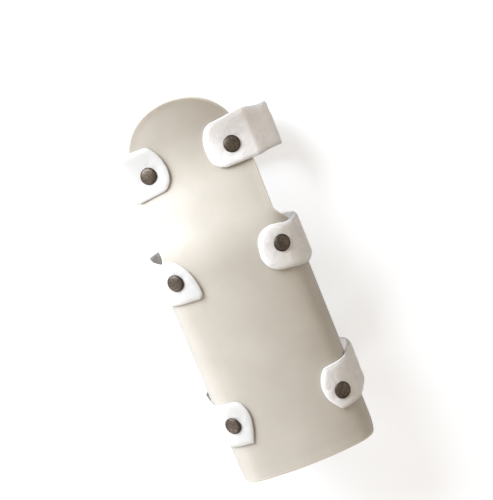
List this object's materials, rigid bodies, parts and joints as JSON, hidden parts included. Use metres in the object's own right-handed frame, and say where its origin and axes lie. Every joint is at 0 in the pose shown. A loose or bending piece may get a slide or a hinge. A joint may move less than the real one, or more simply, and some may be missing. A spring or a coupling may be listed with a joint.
{
  "type": "wrist splint",
  "caption": "Moulded volar wrist splint: a trough-shaped plate with a rounded palm tongue, worn with riveted hook-and-loop straps that close round the back of the arm.",
  "frame": {"origin": "middle of the footprint, at the height of the flat run of the forearm hook strap, on which it rests", "axes": "+X towards the thumb side, +Y along the forearm towards the fingers, +Z out of the palm (volar side up)"},
  "size_m": [0.0982, 0.21, 0.0608],
  "materials": {
    "plate_plastic": "satin off-white moulded polyethylene",
    "hook_tape": "white woven nylon hook tape",
    "loop_tape": "white napped nylon loop tape",
    "rivet_metal": "antique bronze plated steel, rubbed bright on the dome"
  },
  "bodies": {
    "plate": {"moulded_plate": "plate_plastic", "rivet_cap_palm_thumb": "rivet_metal", "rivet_back_palm_thumb": "rivet_metal", "rivet_cap_palm_little": "rivet_metal", "rivet_back_palm_little": "rivet_metal", "loop_strap_tab_palm": "loop_tape", "hook_strap_tab_palm": "hook_tape", "rivet_cap_wrist_thumb": "rivet_metal", "rivet_back_wrist_thumb": "rivet_metal", "rivet_cap_wrist_little": "rivet_metal", "rivet_back_wrist_little": "rivet_metal", "loop_strap_tab_wrist": "loop_tape", "hook_strap_tab_wrist": "hook_tape", "rivet_cap_forearm_thumb": "rivet_metal", "rivet_back_forearm_thumb": "rivet_metal", "rivet_cap_forearm_little": "rivet_metal", "rivet_back_forearm_little": "rivet_metal", "loop_strap_tab_forearm": "loop_tape", "hook_strap_tab_forearm": "hook_tape"},
    "hook_side_palm": {"hook_strap_side_palm": "hook_tape"},
    "hook_end_palm": {"hook_strap_end_palm": "hook_tape"},
    "loop_run_palm": {"loop_strap_run_palm": "loop_tape"},
    "hook_side_wrist": {"hook_strap_side_wrist": "hook_tape"},
    "hook_end_wrist": {"hook_strap_end_wrist": "hook_tape"},
    "loop_run_wrist": {"loop_strap_run_wrist": "loop_tape"},
    "hook_side_forearm": {"hook_strap_side_forearm": "hook_tape"},
    "hook_end_forearm": {"hook_strap_end_forearm": "hook_tape"},
    "loop_run_forearm": {"loop_strap_run_forearm": "loop_tape"}
  },
  "joints": [
    {"name": "hook_fold_palm", "type": "hinge", "parent": "plate", "child": "hook_side_palm", "pos_m": [-0.0353, 0.07144, 0.03828], "axis": [0, 0.9945, -0.1045], "range_deg": [0, 100]},
    {"name": "hook_peel_palm", "type": "hinge", "parent": "hook_side_palm", "child": "hook_end_palm", "pos_m": [-0.03179, 0.06766, 0.00226], "axis": [0, 0.9945, -0.1045], "range_deg": [0, 90]},
    {"name": "loop_fold_palm", "type": "hinge", "parent": "plate", "child": "loop_run_palm", "pos_m": [0.03479, 0.07227, 0.0382], "axis": [0, -0.9945, 0.1045], "range_deg": [0, 25]},
    {"name": "hook_fold_wrist", "type": "hinge", "parent": "plate", "child": "hook_side_wrist", "pos_m": [-0.04047, 0.01433, 0.03757], "axis": [0, 1, 0], "range_deg": [0, 110]},
    {"name": "hook_peel_wrist", "type": "hinge", "parent": "hook_side_wrist", "child": "hook_end_wrist", "pos_m": [-0.02425, 0.01433, 0.0099], "axis": [0, 1, 0], "range_deg": [0, 90]},
    {"name": "loop_fold_wrist", "type": "hinge", "parent": "plate", "child": "loop_run_wrist", "pos_m": [0.03996, 0.00868, 0.03757], "axis": [0, -1, 0], "range_deg": [0, 27.5]},
    {"name": "hook_fold_forearm", "type": "hinge", "parent": "plate", "child": "hook_side_forearm", "pos_m": [-0.04047, -0.07007, 0.03757], "axis": [0, 1, 0], "range_deg": [0, 110]},
    {"name": "hook_peel_forearm", "type": "hinge", "parent": "hook_side_forearm", "child": "hook_end_forearm", "pos_m": [-0.02269, -0.07007, 0.0009], "axis": [0, 1, 0], "range_deg": [0, 90]},
    {"name": "loop_fold_forearm", "type": "hinge", "parent": "plate", "child": "loop_run_forearm", "pos_m": [0.03996, -0.07047, 0.03757], "axis": [0, -1, 0], "range_deg": [0, 27.5]}
  ],
  "couplings": [
    {"joint": "loop_fold_palm", "follows": "hook_fold_palm", "ratio": 0.25},
    {"joint": "loop_fold_wrist", "follows": "hook_fold_wrist", "ratio": 0.25},
    {"joint": "loop_fold_forearm", "follows": "hook_fold_forearm", "ratio": 0.25}
  ]
}
